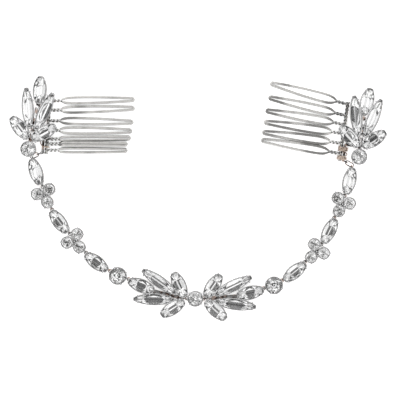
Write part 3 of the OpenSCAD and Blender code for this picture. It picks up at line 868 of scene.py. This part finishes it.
def tooth_route(opening, length, lift):
    tip = min(TIP_R, opening)
    end = NECK_L + length - tip
    low = leg_z(1) + lift

    def side(way):
        neck = strand(TOOTH_START, NECK_L, 0 if way > 0 else 180)
        leg = [neck[-1]]
        for share, swell in LEG_SHAPE:
            out = way * (tip + (opening - tip) * swell)
            leg.append(Vector((NECK_L + share * length, out, leg_z(share) + lift)))
        leg.append(Vector((end, way * tip, low)))
        return neck[:-1] + smooth_route(leg, LEG_STEPS)

    angles = [math.pi / 2 - math.pi * k / BEND_STEPS for k in range(1, BEND_STEPS)]
    bend = [Vector((end + tip * math.cos(a), tip * math.sin(a), low)) for a in angles]
    return side(1) + bend + side(-1)[::-1]


# %% Twist the spines and sweep the teeth
LEG_SLOT = 0
NECK_SLOT = 1

for side, comb in COMBS.items():
    mesh = bmesh.new()
    for phase in (0, 180):
        spine = [p + Vector((0, SPINE_OFF, 0)) for p in strand(SPINE_START, comb["spine"], phase)]
        sweep(mesh, [comb_place(comb, p) for p in spine], [COMB_WIRE / 2] * len(spine))
    for station, heading, opening, share, lifted in comb["teeth"]:
        start = Vector((comb["first"] + station * TOOTH_PITCH, SPINE_OFF, 0))
        route = tooth_route(opening, LEG_L * share, lifted * LIFT)
        radii = [tooth_radius(p) for p in route]
        bands = sweep(mesh, [comb_place(comb, turned(p, heading) + start) for p in route], radii)
        for point, band in zip(route, bands):
            for face in band:
                face.material_index = NECK_SLOT if point.x < NECK_L else LEG_SLOT
    new_piece(side + "_comb_wire", mesh, [wires["comb_steel"], wires["neck_steel"]],
              [side + "_comb"], smooth=True)
    print(side, "comb with", len(comb["teeth"]), "teeth")

# %% [markdown]
# ## Bindings and links
# The binding wire goes round the bar and the spine, and steps on between the teeth. The oval link
# is one closed ring of wire, tilted up from the chain's eye to the bar's eye. Plain torus rings
# could stand for both, but a binding is one wire, and its steps from coil to coil show.

# %% Binding coils
# The wire's places round a coil are in degrees.
WRAP_WIRE = 0.42
WRAP_R = 1.167
WRAP_SIDES = 10
COIL_STEP = 12
COIL_START = -72
COIL_END = 72
LAST_BEFORE_NEXT = 252
STEP_FROM = 90
STEP_OVER = 180
FLATTEN = 4


def coil(turns):
    """Coils round bar and spine. Each steps on to the next between its top and its underside."""
    half = SPINE_OFF / 2
    points = []
    for i, x in enumerate(turns):
        last = i == len(turns) - 1
        end = COIL_END if last else LAST_BEFORE_NEXT
        for a in range(COIL_START, end + 1, COIL_STEP):
            on = 0 if last else max(a - STEP_FROM, 0) / STEP_OVER * (turns[i + 1] - x)
            angle = math.radians(a)
            flat = max(-1.0, min(1.0, math.cos(angle) * FLATTEN))
            y = half + half * flat + WRAP_R * math.cos(angle)
            points.append(Vector((x + on, y, WRAP_R * math.sin(angle))))
    return points


for side, comb in COMBS.items():
    mesh = bmesh.new()
    route = coil(comb["turns"])
    sweep(mesh, [comb_place(comb, p) for p in route], [WRAP_WIRE / 2] * len(route), WRAP_SIDES)
    new_piece(side + "_binding", mesh, [wires["binding_copper"]], [side + "_wrap"],
              smooth=True)
    print(side, "binding with", len(comb["turns"]), "coils")

# %% Oval links
LINKS = {
    "left": (-1, (66.1333, 56.6766), 160.0),
    "right": (1, (63.3362, 53.072), 151.2),
}
LINK_WIRE = 0.42
LINK_SPAN = 3.55
LINK_R = 0.8
EYE_Z = 0.9
END_STEPS = 12


def oval():
    """Two half circles, joined by straight wire, that climb from the chain's eye to the bar's."""
    ends = [(LINK_SPAN - LINK_R, -90), (LINK_R, 90)]
    flat = [Vector((middle, 0)) + on_circle(LINK_R, math.radians(first + 180 / END_STEPS * k))
            for middle, first in ends for k in range(END_STEPS + 1)]
    return [Vector((p.x, p.y, (SPINE_Z - EYE_Z) * p.x / LINK_SPAN)) for p in flat]


for side, (mirror, start, heading) in LINKS.items():
    mesh = bmesh.new()
    route = [turned(p, heading) + Vector((*start, EYE_Z)) for p in oval()]
    route = [Vector((mirror * p.x, p.y, p.z)) for p in route]
    sweep(mesh, route, [LINK_WIRE / 2] * len(route), closed=True)
    new_piece(side + "_oval_link", mesh, [chain_metal], [side + "_link"],
              smooth=True)
    print(side, "link,", LINK_SPAN, "mm over the middle of its wire")

# %% [markdown]
# ## Plating the castings
# The castings are right as they are packed, so they stay and only get their finish. They could be
# modelled again here, but nothing would be gained. The sprays stand higher than the chain, so their
# solder line does too.

# %% Finish the settings
for name in settings:
    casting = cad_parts[name]
    if not casting.material_slots:
        casting.data.materials.append(setting_metal(name))
    for slot in casting.material_slots:
        slot.material = setting_metal(name)
print(len(settings), "castings plated")

# %% [markdown]
# ## Surface and studio
# The vine lies on a plain white sheet of acrylic that is lit from below, so it casts no shadow.
# The light is a white room with a few dark boards. Bright metal and foiled stones have no look of
# their own, they only show what stands around them. Lamps could light the vine as well, but they
# would give it small hot spots, where a white room gives broad soft ones.

# %% Floor
FLOOR_SIDE = 3.0
FLOOR_GRAIN = 300.0
FLOOR_GLOW = 0.82


def floor_finish():
    material, sheet, place = new_finish("lit_acrylic")
    grain = sheet.noise(place, FLOOR_GRAIN)
    finish_surface(sheet, {
        "Base Color": sheet.blend(grain, (0.90, 0.90, 0.90, 1), (0.93, 0.93, 0.93, 1)),
        "Roughness": grain * 0.1 + 0.7,
        "Emission Color": (1.0, 1.0, 1.0, 1),
        "Emission Strength": FLOOR_GLOW,
    })
    return material


mesh = bmesh.new()
bmesh.ops.create_grid(mesh, x_segments=1, y_segments=1, size=FLOOR_SIDE / 2)
data = bpy.data.meshes.new("floor")
mesh.to_mesh(data)
mesh.free()
data.materials.append(floor_finish())
floor = bpy.data.objects.new("floor", data)
bpy.context.scene.collection.objects.link(floor)
print("floor", FLOOR_SIDE, "m wide")

# %% [markdown]
# ## The boards
# A photographer holds dark boards round a clear stone, because a stone in an all white room looks
# like milk. The camera's own hood is the first: it is above the vine and leans towards its near
# side, so it darkens the lower flank of each stone. Round it hang three smaller boards, which put
# dark facets beside white ones. Five more stand round the table, low down, and draw the dark edges
# of the metal. They could be real planes in the scene, but as a formula on the room's own
# direction they have soft edges and never cast a shadow.

# %% Room
ROOM_LIGHT = 1.5
LOW_BOARDS = 5
HIGH_BOARDS = 3
HOOD_LEAN = math.radians(13)
HOOD_RADIUS = 15
HOOD_EDGE = 17
HOOD_AXIS = (0, -math.sin(HOOD_LEAN), math.cos(HOOD_LEAN))


def waves(around, count, start):
    """Count waves round the room, from -1 to 1. Start turns them, in radians of a wave."""
    return room.sum("SINE", around * count + start)


world = bpy.data.worlds.new("studio")
bpy.context.scene.world = world
world.use_nodes = True
room = Sheet(world.node_tree)
look = room.node("ShaderNodeTexCoord", None, None, "Generated")
x, y, z = (room.part(look, name) for name in "XYZ")
around = room.sum("ARCTAN2", y, x)
towards = room.node("ShaderNodeVectorMath", {"operation": "DOT_PRODUCT"},
                    {0: look, 1: HOOD_AXIS}, "Value")
hood = room.step(towards, math.cos(math.radians(HOOD_EDGE)), math.cos(math.radians(HOOD_RADIUS)))
low_boards = room.step(waves(around, LOW_BOARDS, 0.6), 0.15, 0.35)
low_band = room.step(z, 0.18, 0.26) * (1 - room.step(z, 0.62, 0.70))
high_boards = room.step(waves(around, HIGH_BOARDS, 3.4), -0.2, 0.05)
high_band = room.step(z, 0.87, 0.89) * (1 - room.step(z, 0.97, 0.98))
unevenness = room.step(waves(around, 2, 1.0), -1.0, 1.0)
strength = ROOM_LIGHT * (1 - low_boards * low_band * 0.3) * (1 - hood * 0.86)
strength = strength * (1 - high_boards * high_band * 0.95) * (1 - unevenness * 0.3)
background = room.node("ShaderNodeBackground", None, {"Color": (1, 1, 1, 1), "Strength": strength})
room.node("ShaderNodeOutputWorld", None, {"Surface": background})
print("white room with a board above,", HIGH_BOARDS, "around it and", LOW_BOARDS, "low down")

# %% [markdown]
# ## Camera
# The photograph looks straight down from a little under half a metre, near enough for the walls to
# show a little on the side that faces the middle. A camera without perspective would hide them. The
# frame is square and 160 mm wide, so the lens follows from the sensor, the height and that width.

# %% Camera
CAMERA_HEIGHT = 0.45
CAMERA_OVER = (0.00188, 0.03948)
FRAME_SIDE = 0.160
FOCUS_Z = 0.002
SENSOR = 36.0
camera_data = bpy.data.cameras.new("camera")
camera_data.sensor_width = SENSOR
camera_data.lens = SENSOR * CAMERA_HEIGHT / FRAME_SIDE
camera = bpy.data.objects.new("camera", camera_data)
camera.location = (*CAMERA_OVER, CAMERA_HEIGHT + FOCUS_Z)
bpy.context.scene.collection.objects.link(camera)
bpy.context.scene.camera = camera
bpy.context.scene.view_settings.view_transform = "Standard"
print("camera with a lens of", round(camera_data.lens, 1), "mm")
